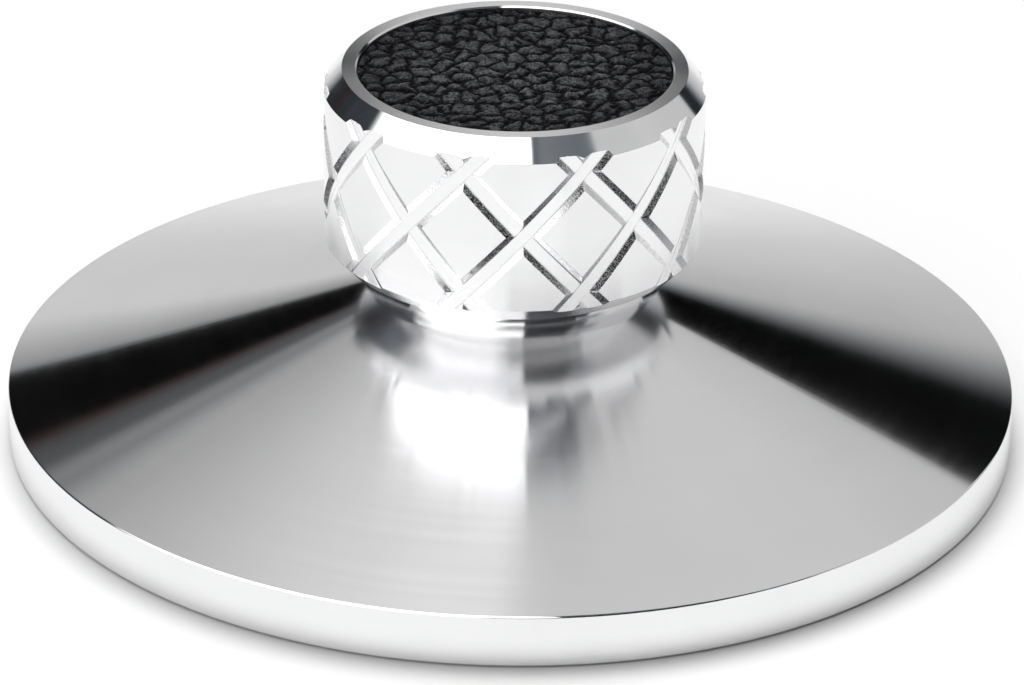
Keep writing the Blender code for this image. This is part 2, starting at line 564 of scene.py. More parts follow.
@dataclass
class Profile:
    """A line of corners, each rounded by its own radius, that is turned about Z."""

    corners: list[Spot]
    steps: int = 5
    step_length: float = 0.12 * MM
    points: list[Point] = field(default_factory=list)
    bands: list[int] = field(default_factory=list)
    stretches: list[Stretch] = field(default_factory=list)

    def __post_init__(self) -> None:
        """Work out the points and stretches."""
        last = len(self.corners) - 1
        for place, (radius, height, rounding) in enumerate(self.corners):
            if rounding and 0 < place < last:
                self.add_corner(place)
            else:
                self.add_point(radius, height)

    def add_point(self, radius: float, height: float) -> None:
        """Run a straight stretch to a point.

        Args:
            radius: The point's radius.
            height: The point's height.
        """
        if self.points:
            from_radius, from_height = self.points[-1]
            along = Vector((radius - from_radius, height - from_height)).normalized()
            self.bands.append(len(self.stretches))
            self.stretches.append(Stretch(Bend.STRAIGHT, normal=(-along.y, along.x)))
        self.points.append((radius, height))

    def add_corner(self, place: int) -> None:
        """Run a straight stretch to a corner, and round it.

        Args:
            place: The corner's place in the list.
        """
        before, corner, after = (Vector(self.corners[place + step][:2]) for step in (-1, 0, 1))
        rounding = self.corners[place][2]
        back = (before - corner).normalized()
        ahead = (after - corner).normalized()
        half = back.angle(ahead) / 2
        start = corner + back * (rounding / math.tan(half))
        end = corner + ahead * (rounding / math.tan(half))
        centre = corner + (back + ahead).normalized() * (rounding / math.sin(half))
        self.add_point(*start)
        turn = back.x * ahead.y - back.y * ahead.x
        first = math.atan2(start.y - centre.y, start.x - centre.x)
        sweep = math.atan2(end.y - centre.y, end.x - centre.x) - first
        sweep = (sweep + math.pi) % FULL_TURN - math.pi
        steps = max(self.steps, round(abs(sweep) * rounding / self.step_length))
        outward = 1.0 if turn > 0 else -1.0
        self.stretches.append(Stretch(Bend.ROUND, centre=tuple(centre), outward=outward))
        for step in range(1, steps + 1):
            angle = first + sweep * step / steps
            self.bands.append(len(self.stretches) - 1)
            x = centre.x + rounding * math.cos(angle)
            y = centre.y + rounding * math.sin(angle)
            self.points.append((x, y))

    def normal_at(self, band: int, radius: np.ndarray, height: np.ndarray) -> np.ndarray:
        """Work out the true normals of a band.

        Args:
            band: The stretch's number.
            radius: Radii of the points.
            height: Heights of the points.

        Returns:
            The normals as (radial, upward).
        """
        stretch = self.stretches[band]
        if stretch.bend is Bend.STRAIGHT:
            return np.tile(np.array(stretch.normal), (len(radius), 1))
        away = np.stack((radius - stretch.centre[0], height - stretch.centre[1]), axis=1)
        return stretch.outward * away / np.linalg.norm(away, axis=1)[:, None]


def turn(
    name: str,
    points: Sequence[Point],
    bands: Sequence[int],
    edges: range,
    around: int,
) -> bpy.types.Object:
    """Turn a line of points, which runs down the outer side, about Z.

    Args:
        name: The blank's name.
        points: Radius and height of each point, with radius 0 on the axis.
        bands: The number that the faces below each point carry.
        edges: Which edges between the facets it has; with all of them it is a whole ring.
        around: How many edges a whole ring has.

    Returns:
        The blank, with flat ends where it doesn't go all the way round.
    """
    angles = np.array(edges) * FULL_TURN / around
    count = len(edges)
    whole = count == around
    places: list[Spot] = []
    rows = []
    for radius, height in points:
        start = len(places)
        rows.append([start + edge if radius else start for edge in range(count)])
        turned = angles if radius else angles[:1]
        places.extend((radius * math.cos(angle), radius * math.sin(angle), height) for angle in turned)
    faces = []
    marks = []
    for upper, lower, band in zip(rows[:-1], rows[1:], bands, strict=True):
        for step in range(count if whole else count - 1):
            ahead = (step + 1) % count
            corners = (upper[step], lower[step], lower[ahead], upper[ahead])
            faces.append(tuple(dict.fromkeys(corners)))
            marks.append(band)
    if not whole:
        faces.append(tuple(row[0] for row in reversed(rows)))
        faces.append(tuple(row[-1] for row in rows))
        marks.extend((CAP, CAP))
    mesh = bpy.data.meshes.new(name)
    mesh.from_pydata(places, [], faces)
    mesh.attributes.new(BAND, "INT", "FACE").data.foreach_set("value", marks)
    return add_object(name, mesh)


def weld(
    name: str,
    meshes: Sequence[bpy.types.Mesh],
    finishes: Sequence[bpy.types.Material],
) -> bpy.types.Mesh:
    """Join meshes whose edges meet into one closed mesh.

    Args:
        name: The new mesh's name.
        meshes: What is joined.
        finishes: The new mesh's materials in order.

    Returns:
        The joined mesh.
    """
    slots = {finish.name: slot for slot, finish in enumerate(finishes)}
    work = bmesh.new()
    for mesh in meshes:
        before = len(work.faces)
        work.from_mesh(mesh)
        work.faces.ensure_lookup_table()
        for face in work.faces[before:]:
            face.material_index = slots[mesh.materials[face.material_index].name]
    bmesh.ops.remove_doubles(work, verts=work.verts[:], dist=WELD_DISTANCE)
    joined = bpy.data.meshes.new(name)
    work.to_mesh(joined)
    work.free()
    for finish in finishes:
        joined.materials.append(finish)
    return joined


# The metal body


@dataclass
class Grip:
    """The grooves that cross round the knob."""

    each_way: int = 10
    depth: float = 0.40 * MM
    floor_width: float = 1.32 * MM
    flank_angle: float = math.radians(57.0)
    row_spacing: float = 6.30 * MM
    phase: float = math.radians(3.2)
    second_pass_shallower: float = 0.03 * MM
    corner_break: float = 0.10 * MM
    land_break: float = 0.03 * MM
    land_break_angle: float = math.radians(75.0)
    tool_line: float = 0.10 * MM
    tool_line_depth: float = 0.045 * MM
    outside: float = 0.6 * MM
    steps: int = 48
    near_floor: float = 0.97
    near_grooves: int = 3

    def section(self, depth: Term) -> list[tuple[Number, Number]]:
        """List the section's points, across the groove and outward from the land.

        Args:
            depth: How deep the groove is.

        Returns:
            The points in order.
        """
        floor = self.floor_width / 2
        lean = math.tan(self.flank_angle)
        rounding = self.corner_break
        up = rounding * math.cos(self.flank_angle)
        land = floor + lean * (depth - self.land_break)
        brim = math.tan(self.land_break_angle) * (self.outside + self.land_break)
        half = [
            (land + brim, self.outside),
            (land, -self.land_break),
            (floor + rounding * math.sin(self.flank_angle), up - depth),
            (floor - rounding, -depth),
            (self.tool_line, -depth),
        ]
        mirrored = [(-across, out) for across, out in reversed(half)]
        return half + [(0.0, -depth - self.tool_line_depth)] + mirrored

    def groove_set(self, tree: ShapeTree, radius: Term, depth: Term, middle: Term, rise: Term) -> Term:
        """Sweep the grooves of one hand along their helices.

        Args:
            tree: The tree to add to.
            radius: The knob's radius.
            depth: How deep the grooves are.
            middle: Height of the crossings' middle row.
            rise: How far a groove climbs from one row to the next.

        Returns:
            The grooves as solids.
        """
        index = tree.add("InputIndex")
        share = (index - self.steps) / (self.steps / 2)
        angle = share * (math.pi / self.each_way)
        line = tree.add("MeshLine", {"Count": 2 * self.steps + 1})
        path = tree.add("MeshToCurve", {"Mesh": line})
        spot = tree.combine(radius * angle.cos(), radius * angle.sin(), middle + share * rise)
        helix = tree.add("SetPosition", {"Geometry": path, "Position": spot})
        helix = tree.add("SetCurveNormal", {"Curve": helix}, mode="Z_UP")
        points = self.section(depth)
        corners = tree.add("MeshLine", {"Count": len(points)})
        outline = tree.add("MeshToCurve", {"Mesh": corners})
        switch = tree.node("GeometryNodeIndexSwitch", {"data_type": "VECTOR"}, {"Index": index})
        while len(switch.index_switch_items) < len(points):
            switch.index_switch_items.new()
        for place, (across, out) in enumerate(points):
            tree.feed(switch.inputs[place + 1], tree.combine(out, across, 0.0))
        sockets = {"Geometry": outline, "Position": Term(tree, switch.outputs[0])}
        outline = tree.add("SetPosition", sockets)
        outline = tree.add("SetSplineCyclic", {"Geometry": outline, "Cyclic": True})
        sockets = {"Curve": helix, "Profile Curve": outline, "Fill Caps": True}
        groove = tree.add("CurveToMesh", sockets)
        return self.repeat(tree, groove, self.near_grooves, -(self.near_grooves // 2))

    def repeat(self, tree: ShapeTree, shape: Term, count: int, first: int) -> Term:
        """Repeat a shape round the axis, a groove's share of the turn apart.

        Args:
            tree: The tree to add to.
            shape: What is repeated.
            count: How many there are.
            first: The share that the first one is turned by.

        Returns:
            The copies as one mesh.
        """
        spots = tree.add("Points", {"Count": count})
        place = tree.add("InputIndex") + first
        turn = tree.combine(0.0, 0.0, place * (FULL_TURN / self.each_way))
        sockets = {"Points": spots, "Instance": shape, "Rotation": turn}
        copies = tree.add("InstanceOnPoints", sockets)
        return tree.add("RealizeInstances", {"Geometry": copies})

    def mill(self, obj: bpy.types.Object, radius: float, middle: float, finishes: dict[str, Any]) -> None:
        """Add the tree that mills the grooves.

        Args:
            obj: The turned body.
            radius: The knob's radius.
            middle: Height of the knob's middle.
            finishes: The materials.
        """
        tree = ShapeTree("mill_grip")
        knob = tree.input("Knob Radius", radius)
        height = tree.input("Knob Middle", middle)
        depth = tree.input("Groove Depth", self.depth)
        rise = tree.input("Row Spacing", self.row_spacing)
        turned = tree.input("Turned", finishes["turned"], "NodeSocketMaterial")
        floor = tree.input("Groove Floor", finishes["floor"], "NodeSocketMaterial")
        flank = tree.input("Groove Flank", finishes["flank"], "NodeSocketMaterial")
        x, y, _ = tree.separate(tree.add("InputPosition"))
        away = tree.reach(x, y)
        cutters = []
        for way, pass_depth in ((rise, depth), (-rise, depth - self.second_pass_shallower)):
            cutter = tree.dress(self.groove_set(tree, knob, pass_depth, height, way), flank)
            cutters.append(tree.dress(cutter, floor, away < knob - pass_depth * self.near_floor))
        settings = {"operation": "DIFFERENCE", "solver": "EXACT"}
        node = tree.node("GeometryNodeMeshBoolean", settings, {0: tree.geometry()})
        for cutter in cutters:
            tree.tree.links.new(cutter.socket, node.inputs[1])
        band = tree.attribute(BAND, "INT")
        sockets = {"Geometry": Term(tree, node.outputs[0]), "Selection": band < CAP / 2}
        milled = tree.add("DeleteGeometry", sockets, domain="FACE")
        sockets = {"Geometry": self.repeat(tree, milled, self.each_way, 0), "Distance": WELD_DISTANCE}
        ring = tree.add("MergeByDistance", sockets)
        tree.finish(ring, turned, band > 0.5)
        tree.put_on(obj)


@dataclass
class Thread:
    """The thread cut in the spindle's hole."""

    start: float = 12.75 * MM
    length: float = 16.0 * MM
    pitch: float = 1.0 * MM
    depth: float = 0.54 * MM
    rows_per_pitch: int = 6
    run_out: float = 0.8 * MM
    core_margin: float = 1.01

    def rows(self, radius: float) -> list[Spot]:
        """List the profile's points along the thread.

        Args:
            radius: The core's radius.

        Returns:
            The corners, each without rounding.
        """
        count = round(self.length / self.pitch * self.rows_per_pitch)
        return [(radius, self.start + self.length * row / count, 0.0) for row in range(count + 1)]

    def cut(self, obj: bpy.types.Object, core: float, finish: bpy.types.Material) -> None:
        """Add the tree that cuts the thread.

        Args:
            obj: The turned body.
            core: The core's radius.
            finish: The material of the turned faces.
        """
        tree = ShapeTree("cut_thread")
        wall = tree.input("Core Radius", core)
        pitch = tree.input("Pitch", self.pitch)
        depth = tree.input("Thread Depth", self.depth)
        start = tree.input("Thread Start", self.start)
        end = tree.input("Thread End", self.start + self.length)
        turned = tree.input("Turned", finish, "NodeSocketMaterial")
        x, y, z = tree.separate(tree.add("InputPosition"))
        away = tree.reach(x, y)
        turn = tree.math("ARCTAN2", y, x) / FULL_TURN
        wave = 1.0 - ((z / pitch - turn).fract() * 2.0 - 1.0).abs()
        fade = (z - start).rise(0.0, self.run_out) * (end - z).rise(0.0, self.run_out)
        reach = wave * fade * depth / away
        within = (z > start) * (z < end) * (away < wall * self.core_margin)
        offset = tree.combine(x * reach, y * reach, 0.0)
        sockets = {"Geometry": tree.geometry(), "Selection": within, "Offset": offset}
        tree.finish(tree.add("SetPosition", sockets), turned)
        tree.put_on(obj)


@dataclass
class ClampBody:
    """The disc, neck and knob, turned in one."""

    disc_radius: float = 49.998 * MM
    rim_height: float = 5.25 * MM
    cone_angle: float = math.radians(16.2)
    rim_rounding: float = 0.26 * MM
    foot_chamfer: float = 0.25 * MM
    contact_ring_width: float = 8.0 * MM
    label_recess: float = 0.8 * MM
    relief_radius: float = 12.0 * MM
    relief_depth: float = 1.2 * MM
    shank_radius: float = 3.7 * MM
    entry_chamfer: float = 0.6 * MM
    shank_depth: float = 12.0 * MM
    core_radius: float = 2.95 * MM
    drill_angle: float = math.radians(118.0)
    neck_radius: float = 12.8 * MM
    neck_length: float = 3.29 * MM
    neck_foot_fillet: float = 2.5 * MM
    neck_head_fillet: float = 0.6 * MM
    knob_radius: float = 18.6 * MM
    knob_height: float = 18.85 * MM
    top_chamfer: Point = (1.77 * MM, 2.02 * MM)
    knob_foot_chamfer: Point = (1.38 * MM, 1.50 * MM)
    ring_width: float = 1.33 * MM
    pocket_lip: float = 0.15 * MM
    pocket_depth: float = 1.80 * MM
    edge: float = 0.05 * MM
    facets: int = 240
    sharp_angle: float = math.radians(24.0)
    past_thread: float = 1.3
    grip: Grip = field(default_factory=Grip)
    thread: Thread = field(default_factory=Thread)

    @property
    def neck_foot(self) -> float:
        """Height where the neck meets the cone."""
        return self.rim_height + (self.disc_radius - self.neck_radius) * math.tan(self.cone_angle)

    @property
    def knob_top(self) -> float:
        """Height of the knob's flat ring."""
        return self.neck_foot + self.neck_length + self.knob_height

    @property
    def wall_middle(self) -> float:
        """Height of the middle of the knob's wall."""
        bottom = self.knob_top - self.knob_height + self.knob_foot_chamfer[1]
        return (bottom + self.knob_top - self.top_chamfer[1]) / 2

    def profile(self) -> Profile:
        """Lay out the corners from the pocket's floor to the drill's point.

        Returns:
            The profile.
        """
        edge = self.edge
        top = self.knob_top
        underside = top - self.knob_height
        ring = self.knob_radius - self.top_chamfer[0]
        pocket = ring - self.ring_width - self.pocket_lip
        contact = self.disc_radius - self.contact_ring_width
        ceiling = self.label_recess + self.relief_depth
        thread_end = self.thread.start + self.thread.length
        point = thread_end + self.core_radius / math.tan(self.drill_angle / 2)
        return Profile(
            [
                (0.0, top - self.pocket_depth, 0.0),
                (pocket, top - self.pocket_depth, 2 * edge),
                (pocket, top - self.pocket_lip, edge),
                (pocket + self.pocket_lip, top, edge),
                (ring, top, edge),
                (self.knob_radius, top - self.top_chamfer[1], edge),
                (self.knob_radius, underside + self.knob_foot_chamfer[1], edge),
                (self.knob_radius - self.knob_foot_chamfer[0], underside, edge),
                (self.neck_radius, underside, self.neck_head_fillet),
                (self.neck_radius, self.neck_foot, self.neck_foot_fillet),
                (self.disc_radius, self.rim_height, self.rim_rounding),
                (self.disc_radius, self.foot_chamfer, edge),
                (self.disc_radius - self.foot_chamfer, 0.0, edge),
                (contact, 0.0, edge),
                (contact - self.label_recess, self.label_recess, edge),
                (self.relief_radius, self.label_recess, edge),
                (self.relief_radius - self.relief_depth, ceiling, edge),
                (self.shank_radius + self.entry_chamfer, ceiling, edge),
                (self.shank_radius, ceiling + self.entry_chamfer, edge),
                (self.shank_radius, self.shank_depth, edge),
                *self.thread.rows(self.core_radius),
                (0.0, point, 0.0),
            ]
        )

    def build(self, finishes: dict[str, bpy.types.Material]) -> bpy.types.Object:
        """Turn, thread and mill the body.

        Args:
            finishes: The materials.

        Returns:
            The finished piece.
        """
        profile = self.profile()
        points = profile.points
        bands = [band + 1 for band in profile.bands]
        inside = self.knob_radius - self.top_chamfer[0] - self.ring_width / 2
        underside = self.knob_top - self.knob_height - WELD_DISTANCE
        rows = [row for row, (radius, height) in enumerate(points) if radius > inside and height > underside]
        first, last = rows[0], rows[-1]
        ring = range(self.facets)
        crown = turn("crown", points[: first + 1], bands[:first], ring, self.facets)
        crown.data.materials.append(finishes["turned"])
        base = turn("base", points[last:], bands[last:], ring, self.facets)
        self.thread.cut(base, self.core_radius, finishes["turned"])
        knob_points = [(0.0, points[first][1]), *points[first : last + 1], (0.0, points[last][1])]
        share = self.facets // self.grip.each_way
        lead = share // 3
        start = round(FRONT / FULL_TURN * self.facets) - lead
        sector = range(start, start + share + 1)
        knob = turn("knob", knob_points, [CAP, *bands[first:last], CAP], sector, self.facets)
        knob.data.transform(Matrix.Rotation(-(FRONT + self.grip.phase), 4, "Z"))
        self.grip.mill(knob, self.knob_radius, self.wall_middle, finishes)
        parts = [plain_copy(part) for part in (crown, base, knob)]
        parts[-1].data.transform(Matrix.Rotation(FRONT + self.grip.phase, 4, "Z"))
        mesh = weld("turned_body", [part.data for part in parts], list(finishes.values()))
        for part in parts:
            bpy.data.objects.remove(part)
        self.set_normals(mesh, profile)
        return add_object("turned_body", mesh)

    def set_normals(self, mesh: bpy.types.Mesh, profile: Profile) -> None:
        """Give the turned faces their true normals, which their facets only come near.

        Args:
            mesh: The body's mesh.
            profile: The profile that it was turned from.
        """
        mesh.shade_smooth()
        mesh.set_sharp_from_angle(angle=self.sharp_angle)
        mesh.update()
        normals = read(mesh.corner_normals, "vector", np.float32, 3)
        places = read(mesh.vertices, "co", np.float32, 3)[read(mesh.loops, "vertex_index", np.int32)]
        corners = read(mesh.polygons, "loop_total", np.int32)
        band = np.repeat(read(mesh.attributes[BAND].data, "value", np.int32), corners) - 1
        slot = np.repeat(read(mesh.polygons, "material_index", np.int32), corners)
        floor = mesh.materials.find("milled_floor")
        radius = np.hypot(places[:, 0], places[:, 1])
        outward = places[:, :2] / np.maximum(radius, 1e-9)[:, None]
        for number in range(len(profile.stretches)):
            chosen = (band == number) & (radius > self.core_radius * self.past_thread)
            if chosen.any():
                true = profile.normal_at(number, radius[chosen], places[chosen, 2])
                normals[chosen, :2] = outward[chosen] * true[:, :1]
                normals[chosen, 2] = true[:, 1]
        chosen = (band < 0) & (slot == floor)
        normals[chosen, :2] = outward[chosen]
        normals[chosen, 2] = 0.0
        mesh.normals_split_custom_set(normals.tolist())


# The leather


@dataclass
class LeatherInlay:
    """The pebble-grained leather in the top of the knob."""

    radius: float = 15.28 * MM
    thickness: float = 1.20 * MM
    sunk: float = 0.30 * MM
    edge_round: float = 0.25 * MM
    cells: int = 270
    pebble: float = 2.15 * MM
    crease: float = 0.50 * MM
    round_steps: int = 4
    warp_scale: float = 1.3
    warp: float = 1.3
    warp_detail: float = 3.0
    slope: float = 0.44
    small_cells: float = 2.6
    small_crease_width: float = 0.12
    small_crease_depth: float = 0.16
    lump_scale: float = 3.0
    lump_height: float = 0.24
    crown: float = 1.1

    def cushion(self, top: float) -> bpy.types.Mesh:
        """Make the fine blank that the pebbles are pressed in.

        Args:
            top: Height of the leather's face.

        Returns:
            The mesh, closed, with the share of pebbles at each point.
        """
        count = self.cells + 1
        line = np.linspace(-1.0, 1.0, count)
        across, along = np.meshgrid(line, line, indexing="ij")
        flat = self.radius - self.edge_round
        x = across * np.sqrt(1 - along**2 / 2) * flat
        y = along * np.sqrt(1 - across**2 / 2) * flat
        face = np.stack((x, y, np.full_like(x, top)), axis=2).reshape(-1, 3)
        index = np.arange(count * count).reshape(count, count)
        quads = np.stack((index[:-1, :-1], index[1:, :-1], index[1:, 1:], index[:-1, 1:]), axis=2)
        rim = np.concatenate((index[:-1, 0], index[-1, :-1], index[:0:-1, -1], index[0, :0:-1]))
        angle = np.arctan2(face[rim, 1], face[rim, 0])
        bottom = top - self.thickness
        quarter = [step / self.round_steps * math.pi / 2 for step in range(self.round_steps + 1)]
        bends = [(bend, top - self.edge_round) for bend in quarter[1:]]
        bends += [(bend + math.pi / 2, bottom + self.edge_round) for bend in quarter]
        places = [face]
        faces = [quads.reshape(-1, 4)]
        above = rim
        for row, (bend, level) in enumerate(bends):
            radius = flat + self.edge_round * math.sin(bend)
            height = np.full_like(angle, level + self.edge_round * math.cos(bend))
            places.append(np.stack((radius * np.cos(angle), radius * np.sin(angle), height), axis=1))
            below = len(face) + row * len(rim) + np.arange(len(rim))
            faces.append(np.stack((above, below, np.roll(below, -1), np.roll(above, -1)), axis=1))
            above = below
        points = np.concatenate((*places, [(0.0, 0.0, bottom)]))
        middle = np.full_like(above, len(points) - 1)
        under = np.stack((above, middle, np.roll(above, -1)), axis=1)
        mesh = bpy.data.meshes.new("leather_blank")
        mesh.from_pydata(points.tolist(), [], np.concatenate(faces).tolist() + under.tolist())
        away = np.hypot(points[:, 0], points[:, 1])
        upper = points[:, 2] > top - self.edge_round * 0.4
        share = (np.clip((self.radius - away) / self.edge_round, 0.0, 1.0) * upper).astype(np.float32)
        mesh.attributes.new(PEBBLE_SHARE, "FLOAT", "POINT").data.foreach_set("value", share)
        return mesh

    def to_edge(self, tree: ShapeTree, place: Term, scale: float) -> Term:
        """Measure the distance to the edge of a cell."""
        settings = {"feature": "DISTANCE_TO_EDGE", "voronoi_dimensions": "2D"}
        sockets = {"Vector": place, "Scale": scale, "Randomness": 1.0}
        return tree.term("ShaderNodeTexVoronoi", settings, sockets, "Distance")

    def grain(self, obj: bpy.types.Object, finish: bpy.types.Material) -> None:
        """Add the tree that presses the pebbles.

        Args:
            obj: The blank.
            finish: The leather.
        """
        tree = ShapeTree("press_pebbles")
        pebble = tree.input("Pebble Size", self.pebble)
        crease = tree.input("Crease Depth", self.crease)
        leather = tree.input("Leather", finish, "NodeSocketMaterial")
        place = tree.add("InputPosition")
        x, y, _ = tree.separate(place)
        flat = tree.combine(x / pebble, y / pebble, 0.0)
        warp = tree.noise(flat, self.warp_scale, self.warp_detail, output="Color")
        warp = tree.vector("MULTIPLY", warp, (self.warp, self.warp, 0.0))
        flat = tree.vector("ADD", flat, warp)
        inward = self.to_edge(tree, flat, 1.0).share(0.0, self.slope)
        lumps = tree.noise(flat, self.lump_scale, self.warp_detail)
        dome = (inward * (2.0 - inward)).root()
        small = self.to_edge(tree, flat, self.small_cells).rise(0.0, self.small_crease_width)
        creases = 1.0 - (1.0 - small) * self.small_crease_depth
        height = dome * creases + (lumps - 0.5) * self.lump_height
        share = tree.attribute(PEBBLE_SHARE, "FLOAT")
        # The stored height is what the leather's painted sheen and painted crease shade follow.
        sockets = {"Geometry": tree.geometry(), "Name": PEBBLE_HEIGHT, "Value": inward * creases}
        stored = tree.add("StoreNamedAttribute", sockets, data_type="FLOAT", domain="POINT")
        offset = tree.combine(0.0, 0.0, (height - self.crown) * share * crease)
        pressed = tree.add("SetPosition", {"Geometry": stored, "Offset": offset})
        tree.finish(pressed, leather)
        tree.put_on(obj)

    def build(self, knob_top: float, finish: bpy.types.Material) -> bpy.types.Object:
        """Make the inlay.

        Args:
            knob_top: Height of the knob's flat ring.
            finish: The leather.

        Returns:
            The finished piece.
        """
        obj = add_object("pebbled_leather", self.cushion(knob_top - self.sunk))
        self.grain(obj, finish)
        obj = plain_copy(obj)
        obj.data.shade_smooth()
        return obj


# The studio


@dataclass(frozen=True)
class Edge:
    """A smooth rise, whose two ends move as the mirror gets steep."""

    start: float
    end: float
    height: float = 1.0
    start_moves: float = 0.0
    end_moves: float = 0.0

    def over(self, value: Term, steep: Number = 0.0) -> Term:
        """Read the rise over a value.

        Args:
            value: What it runs over.
            steep: How steep the mirror is, from 0 to 1.

        Returns:
            From 0 to the rise's height.
        """
        start = self.start + steep * self.start_moves if self.start_moves else self.start
        end = self.end + steep * self.end_moves if self.end_moves else self.end
        return value.rise(start, end) * self.height


@dataclass(frozen=True)
class Band:
    """A smooth rise and the fall after it."""

    rise: Point
    fall: Point
    height: float = 1.0

    def over(self, value: Term) -> Term:
        """Read the band over a value."""
        return value.rise(*self.rise) * value.fall(*self.fall) * self.height


@dataclass(frozen=True)
class Canopy:
    """The paper canopy round the object, with a dark gap at each side.

    It is painted by the way that a mirror has to lean to show it to the photograph's
    viewer: by degrees round the axis, from the front to the right, and by its tilt.
    """

    steepness: Point = (16.0, 49.0)
    left_steps: tuple[Edge, ...] = (
        Edge(-72.0, -66.5, 0.14),
        Edge(-64.6, -61.4, 0.25),
        Edge(-60.0, -52.5, 0.25),
        Edge(-56.0, -17.0, 0.36),
    )
    left_streak: Band = Band((-60.6, -59.2), (-59.0, -57.0), 0.14)
    left_when_steep: Point = (-50.0, -48.5)
    right_gap: Edge = Edge(62.1, 63.0, 1.0, 8.7, 8.7)
    front: float = 0.64
    front_right: Edge = Edge(36.0, 62.0, 0.07)
    back_right_steps: tuple[Edge, ...] = (
        Edge(82.0, 101.0, 0.49, -6.2, -17.5),
        Edge(96.0, 125.0, 0.12),
        Edge(115.0, 150.0, 0.06),
    )
    left_gap: Edge = Edge(-88.5, -87.1, 1.0, 3.2, 7.6)
    back_left: float = 0.24
    back_left_more: float = 0.42
    back_left_from: Point = (-101.0, -86.0)
    ring_sides: Band = Band((61.0, 67.0), (112.0, 122.0), 0.92)
    ring_tilt: Point = (7.0, 11.0)
    steep_haze: float = 0.02
    under_tilt: Band = Band((50.5, 52.0), (58.0, 62.0))
    under_knob: Band = Band((4.0, 6.0), (38.0, 46.0), 0.8)

    def level(self, around: Term, tilt: Term, over_ring: Term) -> Term:
        """Say how bright the canopy is.

        Args:
            around: Where the mirror's tilt points.
            tilt: The tilt.
            over_ring: How far round the knob's ring it lies.

        Returns:
            The brightness.
        """
        steep = tilt.share(*self.steepness)
        left = sum(step.over(around) for step in self.left_steps) * (1.0 - self.left_streak.over(around))
        left = left * (1.0 - steep * around.fall(*self.left_when_steep))
        front = self.front - self.front_right.over(around)
        front = left * (1.0 - self.right_gap.over(around, steep)) * front
        back_right = sum(step.over(around, steep) for step in self.back_right_steps)
        back_left = (1.0 - around.share(*self.back_left_from)) * self.back_left_more + self.back_left
        back_left = (1.0 - self.left_gap.over(around, steep)) * back_left
        sides = self.ring_sides.over(over_ring) * tilt.fall(*self.ring_tilt)
        level = (front + back_right + back_left) * (1.0 - sides) + steep * self.steep_haze
        return level * (1.0 - self.under_tilt.over(tilt) * self.under_knob.over(around))


@dataclass(frozen=True)
class Panel:
    """The soft panel overhead and the dark wedge beside it.

    Their ends are places on a ceiling that hangs one unit over the object.
    """

    strength: float = 1.9
    lowest: float = 0.02
    slant: float = 0.166
    right_end: Point = (0.055, 0.068)
    left_end: Point = (-1.66, -1.54)
    left_end_from: Point = (-0.6, -0.2)
    far_end: Point = (0.3, 0.5)
    low_height: Point = (0.36, 0.42)
    low_lean: float = 0.8
    low_start: Point = (-0.03, 0.03)
    low_front: Point = (-0.4, -0.3)
    wedge_slant: float = 1.363
    wedge_end: Point = (0.21, 0.26)
    wedge_level: float = 0.003
    haze_tilt: Band = Band((42.5, 44.0), (50.5, 52.0))
    haze: float = 0.08
    haze_more: Edge = Edge(5.0, 9.5, 0.17)
    haze_less: float = 0.10
    haze_less_from: Point = (9.0, 27.0)

    def cover(self, graph: Graph, ray: Term) -> tuple[Term, Term]:
        """Find where the panel and the wedge are.

        Args:
            graph: The world's graph.
            ray: The direction.

        Returns:
            How much of the direction the panel covers, and how much the wedge.
        """
        x, y, z = graph.separate(ray)
        height = graph.math("MAXIMUM", z, self.lowest)
        over_x = x / height
        over_y = y / height
        past_end = (over_x + over_y * self.slant).rise(*self.right_end)
        left = 1.0 - over_x.fall(*self.left_end) * over_y.rise(*self.left_end_from)
        low = z.fall(*self.low_height) * (x + z * self.low_lean).rise(*self.low_start)
        panel = (1.0 - past_end) * over_y.fall(*self.far_end) * left * (1.0 - low)
        wedge = past_end * (over_x + over_y * self.wedge_slant).fall(*self.wedge_end)
        return panel, graph.math("MAXIMUM", wedge, low * y.fall(*self.low_front))

    def dimness(self, around: Term, tilt: Term) -> Term:
        """Say how bright the wedge is."""
        less = around.share(*self.haze_less_from) * self.haze_less
        haze = self.haze + self.haze_more.over(around) - less
        return haze * self.haze_tilt.over(tilt) + self.wedge_level


